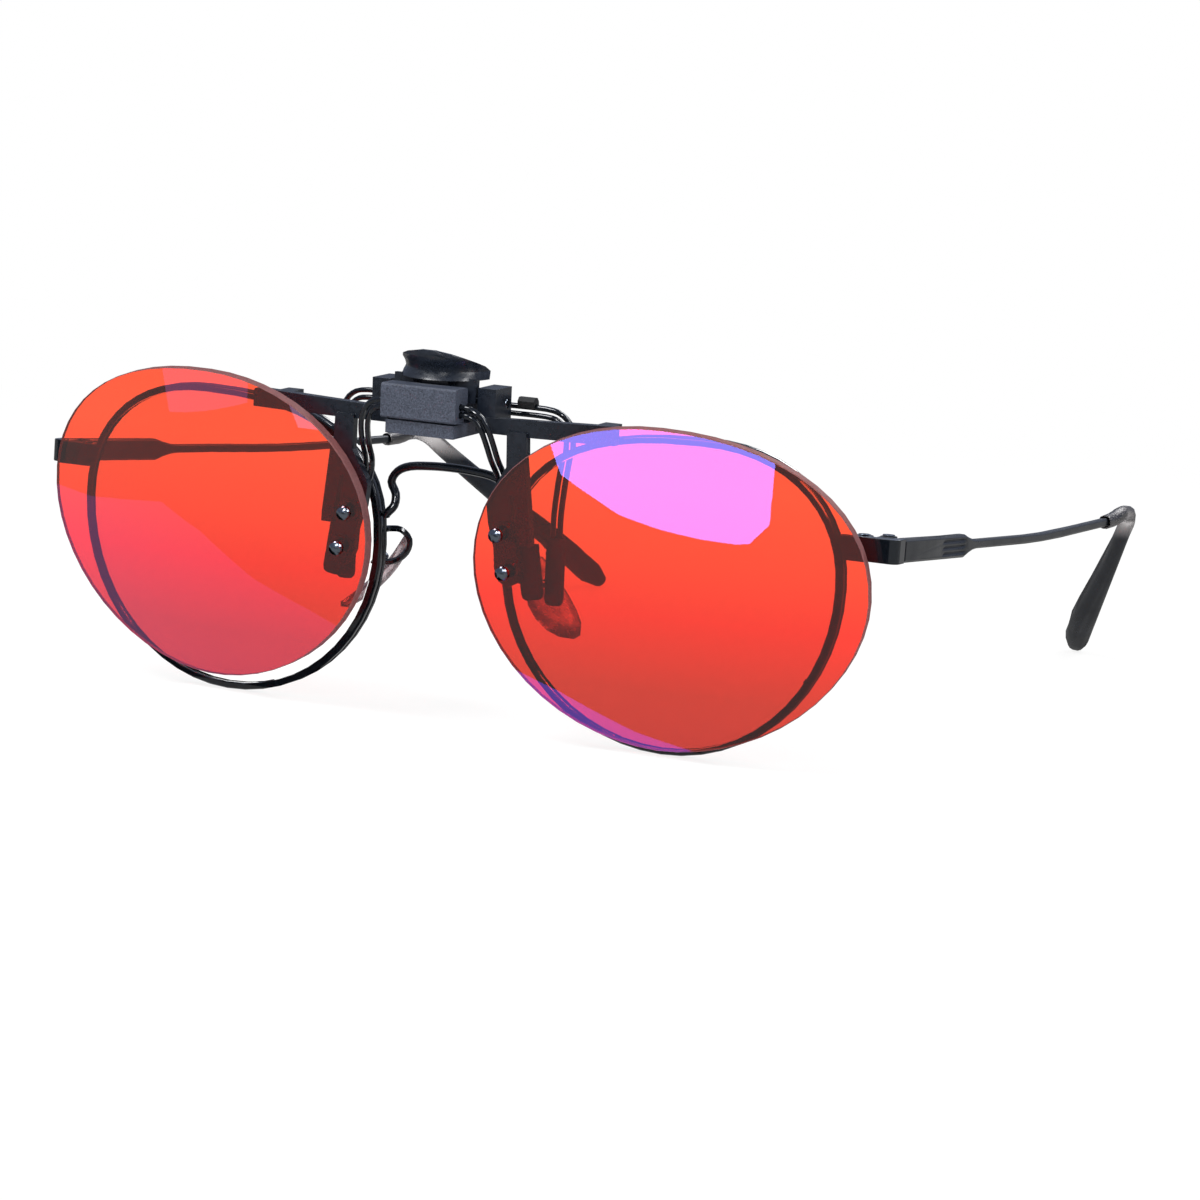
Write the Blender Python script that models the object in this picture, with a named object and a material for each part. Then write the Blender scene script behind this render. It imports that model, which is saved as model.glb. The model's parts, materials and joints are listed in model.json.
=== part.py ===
# Flip-up clip-on eyeglasses on the wire-rim spectacles that they clip to.
# Metres, +Z up. The lenses face -Y and the temples run back along +Y.
# The spectacles stand on their two eyewires and on the two temple ends.
# Right means the side at +X. Pieces of the front are laid out in the plane of
# the front, which leans forward, and pieces of the temples stand upright.

import bpy
import bmesh
from math import asin, cos, pi, radians, sin, sqrt
from mathutils import Matrix, Vector

MM = 0.001

# Clearances
GAP = 0.30 * MM          # between pieces that touch
SNUG = 0.15 * MM         # round a wire in its socket, and a lens in its groove
RUN = 0.06 * MM          # a shaft in its bore, on the radius

# The spectacle front
LEAN = radians(4.0)                  # the front leans forward by this much
FRONT_Y = 0.86 * MM
EYE = {                              # outer edge of an eyewire, from the eye's centre
    "out": 23.6 * MM, "nose": 23.65 * MM, "up": 20.25 * MM, "down": 21.65 * MM,
    "top_at": 3.8 * MM, "bottom_at": 0.0, "out_at": 2.9 * MM, "nose_at": 1.1 * MM,
    "bulge": (2.19, 2.48, 2.02, 2.0),
}
EYE_X = 32.9 * MM                    # half the distance between the eyes' centres
EYE_Z = 21.4 * MM
EYE_WRAP = radians(1.75)
EYE_CURVE = 130 * MM                 # radius of the spectacle lens
EYE_STEPS = 13                       # points in a quarter of an eye's outline
WIRE_W = 0.95 * MM                   # eyewire, across the plane of the lens
WIRE_D = 2.0 * MM                    # eyewire, front to back
LENS_T = 1.5 * MM
LENS_BEVEL = 0.35 * MM               # how far the lens edge reaches into the groove

# The bridge
BRIDGE_R = 0.58 * MM
BRIDGE = {"foot": 4.9 * MM, "rise": 7.5 * MM, "waist": 8.1 * MM, "knee": 8.9 * MM,
          "back": 1.0 * MM}

# The nose pads, from the eyes' height; each faces the nose and slopes with it
PAD_PIVOT = Vector((13.25, 9.05, -2.35)) * MM
PAD_FACE = Vector((-0.72, 0.24, -0.65)).normalized()
PAD_UP = Vector((-0.60, 0.24, 0.76)).normalized()
PAD = {"length": 13.2 * MM, "width": 7.2 * MM, "thick": 1.6 * MM, "bow": 1.2 * MM,
       "back": 0.95 * MM, "lower": 1.5 * MM}
PAD_BOX = {"half": 0.8 * MM, "back": 0.7 * MM, "face": 0.6 * MM, "tall": 1.8 * MM,
           "wall": 0.3 * MM}
PAD_PIN_R = 0.25 * MM
PAD_ARM_R = 0.45 * MM

# The endpieces, the hinges and the temples
END_OUT = 6.7 * MM                   # how far a temple head stands outside its rim
HALF_WIDTH = EYE_X + EYE["out"] + END_OUT
HEAD_Z = 30.0 * MM                   # middle of the temple head above the table
HEAD_H = 3.1 * MM
HEAD_T = 1.5 * MM
CORNER_Y = 2.1 * MM                  # front face of the endpiece
BUTT_Y = 5.3 * MM                    # where the temple butts on the endpiece
LOCK = {"x": HALF_WIDTH - 5.3 * MM, "y": 4.25 * MM, "half": 1.05 * MM}
HINGE_R = 1.1 * MM
HINGE_BACK = 1.35 * MM               # the hinge axis behind the butt joint
HINGE_IN = 1.4 * MM                  # and inward of the temple head
KNUCKLE_H = 0.9 * MM
KNUCKLE_GAP = 0.12 * MM
SCREW_R = 0.42 * MM
FOLD_LEAN = radians(1.2)             # the hinges lean, so the folded temples pass
HEAD_END = 19.3 * MM                 # where the flutes start
FLUTE_LEN = 9.2 * MM
FLUTE_DEEP = 0.28 * MM
TAPER_END = 34.3 * MM
ROD_W = 1.15 * MM
ROD_H = 1.25 * MM
ROD_MID = Vector((HALF_WIDTH - 1.2 * MM, 64.0 * MM, HEAD_Z - 2.7 * MM))
SLEEVE_MOUTH = Vector((HALF_WIDTH - 1.7 * MM, 97.0 * MM, HEAD_Z - 3.0 * MM))
SLEEVE_SOCKET = 9.5 * MM
CREST = Vector((HALF_WIDTH - 1.6 * MM, 105.5 * MM, HEAD_Z - 2.3 * MM))
BEND = Vector((HALF_WIDTH - 2.0 * MM, 111.0 * MM, HEAD_Z - 3.1 * MM))
TIP_END = Vector((HALF_WIDTH - 18.8 * MM, 146.8 * MM, 2.2 * MM))
TIP_W = 2.2 * MM
TIP_H = 3.6 * MM
TIP_MOUTH = (1.95 * MM, 1.95 * MM)      # outside of the sleeve where the wire goes in

# The clip's lenses, placed from the eyes' centres
CLIP_EYE = {
    "out": 26.65 * MM, "nose": 26.45 * MM, "up": 20.85 * MM, "down": 21.7 * MM,
    "top_at": -1.2 * MM, "bottom_at": -0.2 * MM, "out_at": 1.1 * MM, "nose_at": 0.8 * MM,
    "bulge": (2.17, 2.07, 1.94, 1.89),
}
CLIP_X = 34.5 * MM
CLIP_UP = 1.65 * MM
CLIP_FORWARD = 5.0 * MM
CLIP_WRAP = radians(6.3)
CLIP_TILT = radians(5.5)             # top forward, against the front's own plane
CLIP_ROLL = radians(1.1)             # the pair is riveted on about a degree out of level
CLIP_ROLL_Z = 29.0 * MM
CLIP_SHIFT = 0.3 * MM                # and a trace to one side
CLIP_CURVE = 125 * MM
CLIP_LENS_T = 1.4 * MM
CLIP_EDGE = 0.12 * MM
CLIP_STEPS = 14
RIVETS = (Vector((-23.2, 4.3)) * MM, Vector((-22.1, -0.6)) * MM)
RIVET_R = 0.55 * MM
RIVET_HEAD_R = 1.0 * MM
RIVET_HEAD_H = 0.6 * MM

# The flip hinge: a block in front, a floor under the axle and two cheeks that hold it
AXLE_Y = 1.3 * MM
AXLE_Z = 43.5 * MM
AXLE_R = 0.6 * MM
BLOCK = {"half": 5.5 * MM, "front": -6.4 * MM, "back": -3.05 * MM, "waist": -4.0 * MM,
         "bottom": 41.2 * MM, "top": 45.7 * MM, "shoulder": 43.7 * MM}
FLOOR = {"half": 5.0 * MM, "front": -5.8 * MM, "back": 1.9 * MM, "bottom": 39.15 * MM,
         "top": 40.9 * MM}
CHEEK_IN = 3.4 * MM
CHEEK_R = 1.7 * MM
POST = {"in": 6.5 * MM, "out": 9.1 * MM, "front": -2.15 * MM, "back": 2.4 * MM,
        "bottom": 40.4 * MM, "top": 45.65 * MM}

# The carrier of each clip lens: an arm along the brow and a leg down to the rivets
ARM = {"end": 26.6 * MM, "front": -2.5 * MM, "back": -1.1 * MM, "low": 39.95 * MM,
       "high": 41.9 * MM, "climb": 0.035}
PLATE = {"front": -3.0 * MM, "back": -1.8 * MM}
TAB = {"in": 22.5 * MM, "out": 24.8 * MM, "back": 3.1 * MM, "thick": 0.6 * MM,
       "top": 42.2 * MM}
LEG = {"in": 11.3 * MM, "out": 14.1 * MM, "heel": 8.95 * MM, "foot": 20.3 * MM,
       "slot": 0.6 * MM, "column_foot": 26.0 * MM}
BOSS_R = 1.45 * MM

# The thumb lever
HUB = {"in": 2.1 * MM, "out": 3.1 * MM, "r": 1.55 * MM}
THUMB = {"r": 6.2 * MM, "reach": 9.6 * MM, "front": -4.5 * MM, "low": 46.35 * MM,
         "mid": 45.8 * MM, "rise": 4.4 * MM, "thick": 0.75 * MM, "round": 1.8}
THUMB_SWAY = ((0.0, 0.2), (0.12, 0.6), (0.28, 1.4), (0.42, 1.3), (0.64, 0.35), (0.8, 0.0),
              (1.0, 0.1))
TAIL = {"front": 3.4 * MM, "back": 5.2 * MM, "bottom": 41.0 * MM, "top": 43.7 * MM}

# The torsion spring round the axle
COIL_WIRE_R = 0.25 * MM
COIL_R = 1.25 * MM
COIL_PITCH = 0.92 * MM
COIL_TURNS = 3.25
COIL_STEPS = 9                       # points in one turn

# The clamp's four feet: hairpins of spring wire in rubber sleeves
PIN_R = 0.38 * MM
PIN_PITCH = 1.0 * MM                 # between the two strands of a hairpin
SOCKET = 1.3 * MM                    # how deep a strand sits in its holder
FRONT_PIN = Vector((5.5, -4.9, 42.8)) * MM
REAR_PIN = Vector((3.1, 4.3, 42.35)) * MM
PAD_WALL = 0.8 * MM                  # rubber under the end of a hairpin
FRONT_PAD = {"foot": Vector((15.0, -0.4, 18.6)) * MM, "lean": radians(9), "length": 7.2 * MM,
             "wide": 3.2 * MM, "thick": 1.7 * MM}
REAR_PAD = {"foot": Vector((15.75, 4.85, 17.2)) * MM, "lean": radians(0), "length": 9.0 * MM,
            "wide": 2.75 * MM, "thick": 1.8 * MM}
CRIMP = {"in": 9.4 * MM, "out": 11.8 * MM, "deep": 1.5 * MM, "top": 44.15 * MM}

SIDES = (("left", -1), ("right", 1))

FINISHES = {
    "black_metal": ((0.020, 0.024, 0.030), 0.8, 0.32),
    "black_steel": ((0.015, 0.017, 0.022), 0.7, 0.22),
    "block_plastic": ((0.055, 0.065, 0.085), 0.0, 0.6),
    "black_plastic": ((0.016, 0.020, 0.027), 0.0, 0.25),
    "sleeve_plastic": ((0.018, 0.020, 0.024), 0.0, 0.3),
    "steel": ((0.34, 0.37, 0.41), 1.0, 0.25),
    "rubber": ((0.012, 0.012, 0.014), 0.0, 0.6),
    "silicone": ((0.72, 0.64, 0.65), 0.0, 0.25),
    "clear_lens": ((0.93, 0.95, 0.96), 0.0, 0.05),
    "red_lens": ((0.95, 0.10, 0.03), 0.0, 0.05),
}


def material(name):
    if name in bpy.data.materials:
        return bpy.data.materials[name]
    colour, metallic, roughness = FINISHES[name]
    made = bpy.data.materials.new(name)
    made.use_nodes = True
    shader = made.node_tree.nodes["Principled BSDF"]
    shader.inputs["Base Color"].default_value = (*colour, 1)
    shader.inputs["Metallic"].default_value = metallic
    shader.inputs["Roughness"].default_value = roughness
    return made


def empty(name, parent=None, place=Matrix.Identity(4)):
    made = bpy.data.objects.new(name, None)
    bpy.context.scene.collection.objects.link(made)
    made.empty_display_size = 0.004
    made.parent = parent
    made.matrix_local = place
    return made


def add_object(name, data, finish, parent, place=Matrix.Identity(4)):
    made = bpy.data.objects.new(name, data)
    bpy.context.scene.collection.objects.link(made)
    data.materials.append(material(finish))
    made.parent = parent
    made.matrix_local = place
    return made


def mesh_from(bm, name, smooth_angle=35):
    bmesh.ops.recalc_face_normals(bm, faces=bm.faces)
    mesh = bpy.data.meshes.new(name)
    bm.to_mesh(mesh)
    bm.free()
    mesh.shade_smooth()
    mesh.set_sharp_from_angle(angle=radians(smooth_angle))
    return mesh


def loft(bm, rings, closed=False, capped=True):
    # Rings are lists of points of one length, joined ring to ring.
    loops = [[bm.verts.new(point) for point in ring] for ring in rings]
    pairs = zip(loops, loops[1:] + loops[:1] if closed else loops[1:])
    count = len(loops[0])
    for first, second in pairs:
        for i in range(count):
            j = (i + 1) % count
            bm.faces.new((first[i], first[j], second[j], second[i]))
    if capped and not closed:
        bm.faces.new(loops[0][::-1])
        bm.faces.new(loops[-1])
    return loops


def along_x(a, b, s):
    return Vector((s, a, b))


def along_y(a, b, s):
    return Vector((a, s, b))


def along_z(a, b, s):
    return Vector((a, b, s))


def prism(outline, start, end, place):
    # An outline of (a, b) pairs drawn from start to end; place(a, b, s) gives the point.
    bm = bmesh.new()
    loft(bm, [[place(a, b, s) for a, b in outline] for s in (start, end)])
    return bm


def slab(low, high):
    outline = ((low[0], low[1]), (high[0], low[1]), (high[0], high[1]), (low[0], high[1]))
    return prism(outline, low[2], high[2], along_z)


def arc(radius, steps, centre=(0, 0), start=0.0, sweep=2 * pi):
    count = steps if sweep == 2 * pi else steps + 1
    return [(centre[0] + radius * cos(start + sweep * i / steps),
             centre[1] + radius * sin(start + sweep * i / steps)) for i in range(count)]


def stadium(width, height, steps=4):
    # A slot's outline, long way first, with round ends.
    reach = (width - height) / 2
    return (arc(height / 2, steps, (reach, 0), -pi / 2, pi)
            + arc(height / 2, steps, (-reach, 0), pi / 2, pi))


def rod(radius, start, end, place, steps=12):
    return prism(arc(radius, steps), start, end, place)


def combine(piece, bm, operation, place=Matrix.Identity(4)):
    # Joins a body to a piece, or cuts it away. The body is in the piece's coordinates.
    bpy.context.view_layer.update()
    other = bpy.data.objects.new("tool", mesh_from(bm, "tool"))
    bpy.context.scene.collection.objects.link(other)
    other.hide_render = True
    other.display_type = "WIRE"
    other.parent = piece.parent
    other.matrix_local = piece.matrix_local @ place
    step = piece.modifiers.new("step", "BOOLEAN")
    step.operation = operation
    step.solver = "EXACT"
    step.object = other
    bpy.context.view_layer.update()
    seen = piece.evaluated_get(bpy.context.evaluated_depsgraph_get())
    result = bpy.data.meshes.new_from_object(seen)
    piece.modifiers.remove(step)
    piece.data = result
    bpy.data.objects.remove(other)
    while len(result.materials) > 1:
        result.materials.pop()
    for face in result.polygons:
        face.material_index = 0
    result.shade_smooth()
    result.set_sharp_from_angle(angle=radians(35))


def join(piece, bm, place=Matrix.Identity(4)):
    combine(piece, bm, "UNION", place)


def cut(piece, bm, place=Matrix.Identity(4)):
    combine(piece, bm, "DIFFERENCE", place)


def smooth_path(points, per_span):
    # A Catmull-Rom curve through the points.
    points = [Vector(point) for point in points]
    ends = [2 * points[0] - points[1]] + points + [2 * points[-1] - points[-2]]
    path = []
    for i in range(1, len(ends) - 2):
        a, b, c, d = ends[i - 1:i + 3]
        for step in range(per_span):
            t = step / per_span
            path.append(0.5 * ((2 * b) + (c - a) * t + (2 * a - 5 * b + 4 * c - d) * t * t
                               + (3 * b - a - 3 * c + d) * t ** 3))
    path.append(points[-1])
    return path


def tube(name, path, radius, finish, parent, resolution=1):
    curve = bpy.data.curves.new(name, "CURVE")
    curve.dimensions = "3D"
    curve.bevel_depth = radius
    curve.bevel_resolution = resolution
    curve.use_fill_caps = True
    spline = curve.splines.new("POLY")
    spline.points.add(len(path) - 1)
    for point, place in zip(spline.points, path):
        point.co = (*place, 1)
    return add_object(name, curve, finish, parent)


def turned(bm, profile, place, steps=12):
    # A solid of revolution round local Z, from (radius, height) pairs.
    loft(bm, [[place @ Vector((r * cos(2 * pi * i / steps), r * sin(2 * pi * i / steps), h))
               for i in range(steps)] for r, h in profile])


# Eye outlines and lenses

def eye_outline(eye, steps, inset=0.0):
    # Four quarter superellipses that meet where the outline is widest and highest.
    quarters = (
        (eye["out"], eye["up"], eye["top_at"], eye["out_at"]),
        (-eye["nose"], eye["up"], eye["top_at"], eye["nose_at"]),
        (-eye["nose"], -eye["down"], eye["bottom_at"], eye["nose_at"]),
        (eye["out"], -eye["down"], eye["bottom_at"], eye["out_at"]),
    )
    points = []
    for index, (quarter, bulge) in enumerate(zip(quarters, eye["bulge"])):
        wide, high, middle_u, middle_v = quarter
        for i in range(steps):
            turn = pi / 2 * i / steps
            if index % 2:
                turn = pi / 2 - turn
            points.append(Vector((middle_u + (wide - middle_u) * cos(turn) ** (2 / bulge),
                                  middle_v + (high - middle_v) * sin(turn) ** (2 / bulge))))
    if not inset:
        return points
    moved = []
    for i, point in enumerate(points):
        ahead = points[(i + 1) % len(points)] - points[i - 1]
        moved.append(point - inset * Vector((ahead.y, -ahead.x)).normalized())
    return moved


def sag(point, curve):
    return point.length_squared / (2 * curve)


def eye_ring(outline, depth, curve, side):
    # Local to an eye: outward along X, back along Y, up along Z.
    return [Vector((side * p.x, sag(p, curve) + depth, p.y)) for p in outline]


def lens_body(eye, steps, curve, side, edge, rings=(0.5,)):
    # The edge is a list of (inset, depth) from the front face to the back face.
    bm = bmesh.new()
    first, last = edge[0], edge[-1]
    face = eye_outline(eye, steps, first[0])
    layers = [eye_ring([p * k for p in face], first[1], curve, side) for k in rings]
    layers += [eye_ring(eye_outline(eye, steps, inset), depth, curve, side)
               for inset, depth in edge]
    layers += [eye_ring([p * k for p in face], last[1], curve, side) for k in rings[::-1]]
    loops = loft(bm, layers, capped=False)
    for loop, depth in ((loops[0], first[1]), (loops[-1], last[1])):
        middle = bm.verts.new((0, depth, 0))
        for i in range(len(loop)):
            bm.faces.new((loop[i], loop[(i + 1) % len(loop)], middle))
    return bm


# The spectacle front

def eyewire_section():
    # (inset, depth) round the wire: a fine line outside, the lens groove inside.
    soft, line = 0.22 * MM, 0.16 * MM
    middle = WIRE_D / 2
    groove = WIRE_W - LENS_BEVEL
    mouth = 0.62 * MM
    return [(soft, 0), (0, soft), (0, middle - line), (line, middle), (0, middle + line),
            (0, WIRE_D - soft), (soft, WIRE_D), (WIRE_W, WIRE_D), (WIRE_W, middle + mouth),
            (groove, middle), (WIRE_W, middle - mouth), (WIRE_W, 0)]


def eye_place(side):
    return (Matrix.Translation((side * EYE_X, 0, EYE_Z))
            @ Matrix.Rotation(side * EYE_WRAP, 4, "Z"))


def build_eye(name, side, front):
    rings = [eye_ring(eye_outline(EYE, EYE_STEPS, inset), depth, EYE_CURVE, side)
             for inset, depth in eyewire_section()]
    bm = bmesh.new()
    loft(bm, rings, closed=True)
    wire = add_object(name + "_eyewire", mesh_from(bm, "eyewire", 50), "black_metal", front,
                      eye_place(side))
    start = (WIRE_D - LENS_T) / 2
    tip = WIRE_W - LENS_BEVEL + SNUG
    rim = WIRE_W + SNUG
    bm = lens_body(EYE, EYE_STEPS, EYE_CURVE, side,
                   [(rim, start), (tip, WIRE_D / 2), (rim, start + LENS_T)])
    add_object(name + "_demo_lens", mesh_from(bm, "demo_lens"), "clear_lens", front,
               eye_place(side))
    return wire


def nose_side(height, depth, inset=0.0):
    # A point of the right eyewire on its nose side, at a height from the eye's centre.
    outline = [p for p in eye_outline(EYE, EYE_STEPS * 6, inset) if p.x < 0]
    near = min(outline, key=lambda p: abs(p.y - height))
    return eye_place(1) @ Vector((near.x, sag(near, EYE_CURVE) + depth, near.y))


def ear_side(height):
    # How far out the right eyewire reaches at a height from the eye's centre.
    outline = [p for p in eye_outline(EYE, EYE_STEPS * 6) if p.x > 0]
    near = min(outline, key=lambda p: abs(p.y - height))
    return (eye_place(1) @ Vector((near.x, sag(near, EYE_CURVE), near.y))).x


def build_bridge(front):
    foot = nose_side(BRIDGE["foot"], WIRE_D / 2)
    top = EYE_Z + BRIDGE["foot"] + BRIDGE["rise"]
    depth = foot.y + BRIDGE["back"]
    half = [
        (0, depth, top),
        (3.0 * MM, depth, top - 0.1 * MM),
        (BRIDGE["knee"] - 2.8 * MM, depth, top - 0.45 * MM),
        (BRIDGE["knee"] - 0.9 * MM, depth, top - 1.3 * MM),
        (BRIDGE["knee"], depth, top - 2.8 * MM),
        (BRIDGE["waist"] + 0.1 * MM, depth, foot.z + 3.0 * MM),
        (BRIDGE["waist"], foot.y + 0.5 * MM, foot.z + 1.5 * MM),
        (BRIDGE["waist"] + 0.8 * MM, foot.y, foot.z + 0.4 * MM),
        (foot.x - GAP, foot.y, foot.z),
    ]
    other = [(-x, y, z) for x, y, z in half[:0:-1]]
    tube("bridge", smooth_path(other + half, 3), BRIDGE_R, "black_metal", front, 2)


def pad_place(side):
    # Columns: across the pad towards the temples, towards the nose, up the pad.
    face = Vector((side * PAD_FACE.x, PAD_FACE.y, PAD_FACE.z))
    up = Vector((side * PAD_UP.x, PAD_UP.y, PAD_UP.z))
    up = (up - face * up.dot(face)).normalized()
    turn = Matrix((face.cross(up), face, up)).transposed().to_4x4()
    pivot = Vector((side * PAD_PIVOT.x, PAD_PIVOT.y, EYE_Z + PAD_PIVOT.z))
    return Matrix.Translation(pivot) @ turn


def build_pad_box(name, side, front):
    box = PAD_BOX
    half, tall, wall = box["half"], box["tall"], box["wall"]
    shell = add_object(name + "_pad_box",
                       mesh_from(slab((-half, -box["back"], -tall / 2),
                                      (half, box["face"], tall / 2)), "pad_box"),
                       "black_metal", front, pad_place(side))
    cut(shell, slab((-half + wall, -box["back"] + wall, -tall / 2 + wall),
                    (half - wall, 2 * box["face"], tall / 2 - wall)))
    cut(shell, rod(PAD_PIN_R + RUN, -tall, tall, along_z, 10))


def build_nose_pad(name, side, front):
    hinge = empty(name + "_nose_pad_hinge", front, pad_place(side))
    bm = bmesh.new()
    steps = 16
    rings = []
    for scale, level in ((0.6, 0.0), (0.93, 0.12), (1.0, 0.5), (0.9, 0.88), (0.55, 1.0)):
        ring = []
        for i in range(steps):
            turn = 2 * pi * i / steps
            up = PAD["length"] / 2 * sin(turn) * scale
            wide = PAD["width"] / 2 * cos(turn) * scale * (1 - 0.18 * sin(turn))
            bow = PAD["bow"] * (2 * up / PAD["length"]) ** 2
            ring.append(Vector((wide, PAD["back"] + PAD["thick"] * level - bow,
                                up - PAD["lower"])))
        rings.append(ring)
    loft(bm, rings)
    pad = add_object(name + "_nose_pad", mesh_from(bm, "nose_pad"), "silicone", hinge)
    room = PAD_BOX["half"] - PAD_BOX["wall"] - SNUG
    high = PAD_BOX["tall"] / 2 - PAD_BOX["wall"] - SNUG / 2
    join(pad, slab((-room, -PAD_PIN_R - 0.1 * MM, -high),
                   (room, PAD["back"] + PAD["thick"] / 2, high)))
    cut(pad, rod(PAD_PIN_R + RUN, -PAD_BOX["tall"] / 2 - GAP, PAD_BOX["tall"] / 2 + GAP,
                 along_z, 10))


def build_pad_pin(name, side, front):
    bm = bmesh.new()
    reach = PAD_BOX["tall"] / 2
    turned(bm, ((PAD_PIN_R, -reach), (PAD_PIN_R, reach + RUN), (PAD_PIN_R * 2, reach + RUN),
                (PAD_PIN_R * 2, reach + 0.25 * MM), (PAD_PIN_R, reach + 0.32 * MM)),
           Matrix.Identity(4), 10)
    add_object(name + "_pad_screw", mesh_from(bm, "pad_screw"), "steel", front, pad_place(side))


def build_pad_arm(name, side, front):
    # From the back of the eyewire, a loop towards the nose, to the front of the box.
    start = nose_side(3.2 * MM, WIRE_D, WIRE_W / 2)
    end = pad_place(1) @ Vector((-PAD_BOX["half"] - GAP, 0, 0))
    into = pad_place(1) @ Vector((-PAD_BOX["half"] - 1.5 * MM, -0.3 * MM, 0))
    path = [
        (start.x, start.y + GAP, start.z),
        (start.x - 0.3 * MM, start.y + 1.0 * MM, start.z),
        (8.2 * MM, start.y + 1.9 * MM, EYE_Z + 2.9 * MM),
        (7.2 * MM, start.y + 2.5 * MM, EYE_Z + 1.6 * MM),
        (7.8 * MM, start.y + 2.8 * MM, EYE_Z - 0.3 * MM),
        (9.6 * MM, into.y - 0.9 * MM, EYE_Z - 1.7 * MM),
        into,
        end,
    ]
    path = [Vector((side * p[0], p[1], p[2])) for p in path]
    tube(name + "_pad_arm", smooth_path(path, 3), PAD_ARM_R, "black_metal", front)


# The endpieces, hinges and temples stand upright and are placed on the table's frame

def rim_reach(z):
    # Outer edge of the right eyewire where it crosses a height above the table.
    return ear_side((z + FRONT_Y * sin(LEAN)) / cos(LEAN) - EYE_Z)


def build_endpiece(name, side, ground):
    back = CORNER_Y + HEAD_T
    soft = 1.1 * MM
    rings = []
    for step in range(4):
        z = HEAD_Z + HEAD_H * (step / 3 - 0.5)
        inner = rim_reach(z) + GAP
        outline = [(inner, back), (inner, CORNER_Y)]
        outline += arc(soft, 4, (HALF_WIDTH - soft, CORNER_Y + soft), -pi / 2, pi / 2)
        outline += [(HALF_WIDTH, BUTT_Y - GAP), (HALF_WIDTH - HEAD_T, BUTT_Y - GAP),
                    (HALF_WIDTH - HEAD_T, back + 0.5 * MM), (HALF_WIDTH - HEAD_T - 0.5 * MM, back)]
        outline += [(LOCK["x"] + LOCK["half"], back),
                    (LOCK["x"] + LOCK["half"], LOCK["y"] + LOCK["half"] * 0.5),
                    (LOCK["x"] + LOCK["half"] * 0.5, LOCK["y"] + LOCK["half"]),
                    (LOCK["x"] - LOCK["half"] * 0.5, LOCK["y"] + LOCK["half"]),
                    (LOCK["x"] - LOCK["half"], LOCK["y"] + LOCK["half"] * 0.5),
                    (LOCK["x"] - LOCK["half"], back)]
        rings.append([Vector((side * x, y, z)) for x, y in outline])
    bm = bmesh.new()
    loft(bm, rings)
    piece = add_object(name + "_endpiece", mesh_from(bm, "endpiece"), "black_metal", ground)
    hole = Matrix.Translation((side * LOCK["x"], LOCK["y"], HEAD_Z))
    cut(piece, rod(SCREW_R + RUN, -HEAD_H, HEAD_H, along_z), hole)
    bm = bmesh.new()
    turned(bm, screw_profile(HEAD_H / 2), Matrix.Identity(4))
    add_object(name + "_lock_screw", mesh_from(bm, "lock_screw"), "steel", ground, hole)


def screw_profile(reach):
    # A plain shank with a low domed head, seated just clear of the hole.
    top = reach + RUN
    return ((SCREW_R, -reach), (SCREW_R, top), (SCREW_R * 1.9, top),
            (SCREW_R * 1.9, top + 0.22 * MM), (SCREW_R * 1.2, top + 0.42 * MM))


def hinge_place(side):
    x = HALF_WIDTH - HEAD_T - HINGE_IN
    return (Matrix.Translation((side * x, BUTT_Y + HINGE_BACK, HEAD_Z))
            @ Matrix.Rotation(-side * FOLD_LEAN, 4, "Y"))


def knuckle(side, level):
    # One third of the hinge barrel; the level is -1, 0 or 1.
    low = level * (KNUCKLE_H + KNUCKLE_GAP) - KNUCKLE_H / 2
    return rod(HINGE_R, low, low + KNUCKLE_H, along_z, 14)


def build_hinge(name, side, ground, fold):
    place = hinge_place(side)
    reach = 1.5 * KNUCKLE_H + KNUCKLE_GAP
    root = CORNER_Y + HEAD_T + GAP - BUTT_Y - HINGE_BACK
    yoke_back = -(HINGE_R + KNUCKLE_GAP)
    flat = HINGE_R * 0.75
    leaf = slab((-flat, root, -reach), (flat, yoke_back, reach))
    front_half = add_object(name + "_front_hinge", mesh_from(leaf, "front_hinge"),
                            "black_metal", ground, place)
    for level in (-1, 1):
        low = level * (KNUCKLE_H + KNUCKLE_GAP) - KNUCKLE_H / 2
        join(front_half, slab((-flat, yoke_back - 0.4 * MM, low), (flat, 0, low + KNUCKLE_H)))
        join(front_half, knuckle(side, level))
    cut(front_half, rod(SCREW_R + RUN, -2 * reach, 2 * reach, along_z))
    low = -KNUCKLE_H / 2
    near, far = sorted((0, side * (HINGE_IN - GAP)))
    back_half = add_object(name + "_temple_hinge", mesh_from(knuckle(side, 0), "temple_hinge"),
                           "black_metal", fold)
    join(back_half, slab((near, 0, low), (far, 3.6 * MM, -low)))
    cut(back_half, rod(SCREW_R + RUN, -2 * reach, 2 * reach, along_z))
    bm = bmesh.new()
    turned(bm, screw_profile(reach), Matrix.Identity(4))
    add_object(name + "_hinge_screw", mesh_from(bm, "hinge_screw"), "steel", ground, place)


def temple_section(wide, high, notch):
    # (outward, up) pairs; the outer face carries the flutes as notches.
    soft = 0.22 * min(wide, high)
    out, top = wide / 2, high / 2
    points = [(-out, -top + soft), (-out + soft, -top), (out - soft, -top), (out, -top + soft)]
    for line in (-0.26, 0.0, 0.26):
        middle = line * high
        side_z = 0.10 * high
        points += [(out, middle - side_z), (out - notch, middle), (out, middle + side_z)]
    points += [(out, top - soft), (out - soft, top), (-out + soft, top), (-out, top - soft)]
    return points


def ring_on(points, centre, ahead, side):
    # Stands a section across a path; the first number of a pair is outward.
    across = Vector((side, 0, 0))
    across = (across - ahead * across.dot(ahead)).normalized()
    rise = Vector((0, 0, 1))
    rise = (rise - ahead * rise.dot(ahead)).normalized()
    return [centre + across * a + rise * b for a, b in points]


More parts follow.
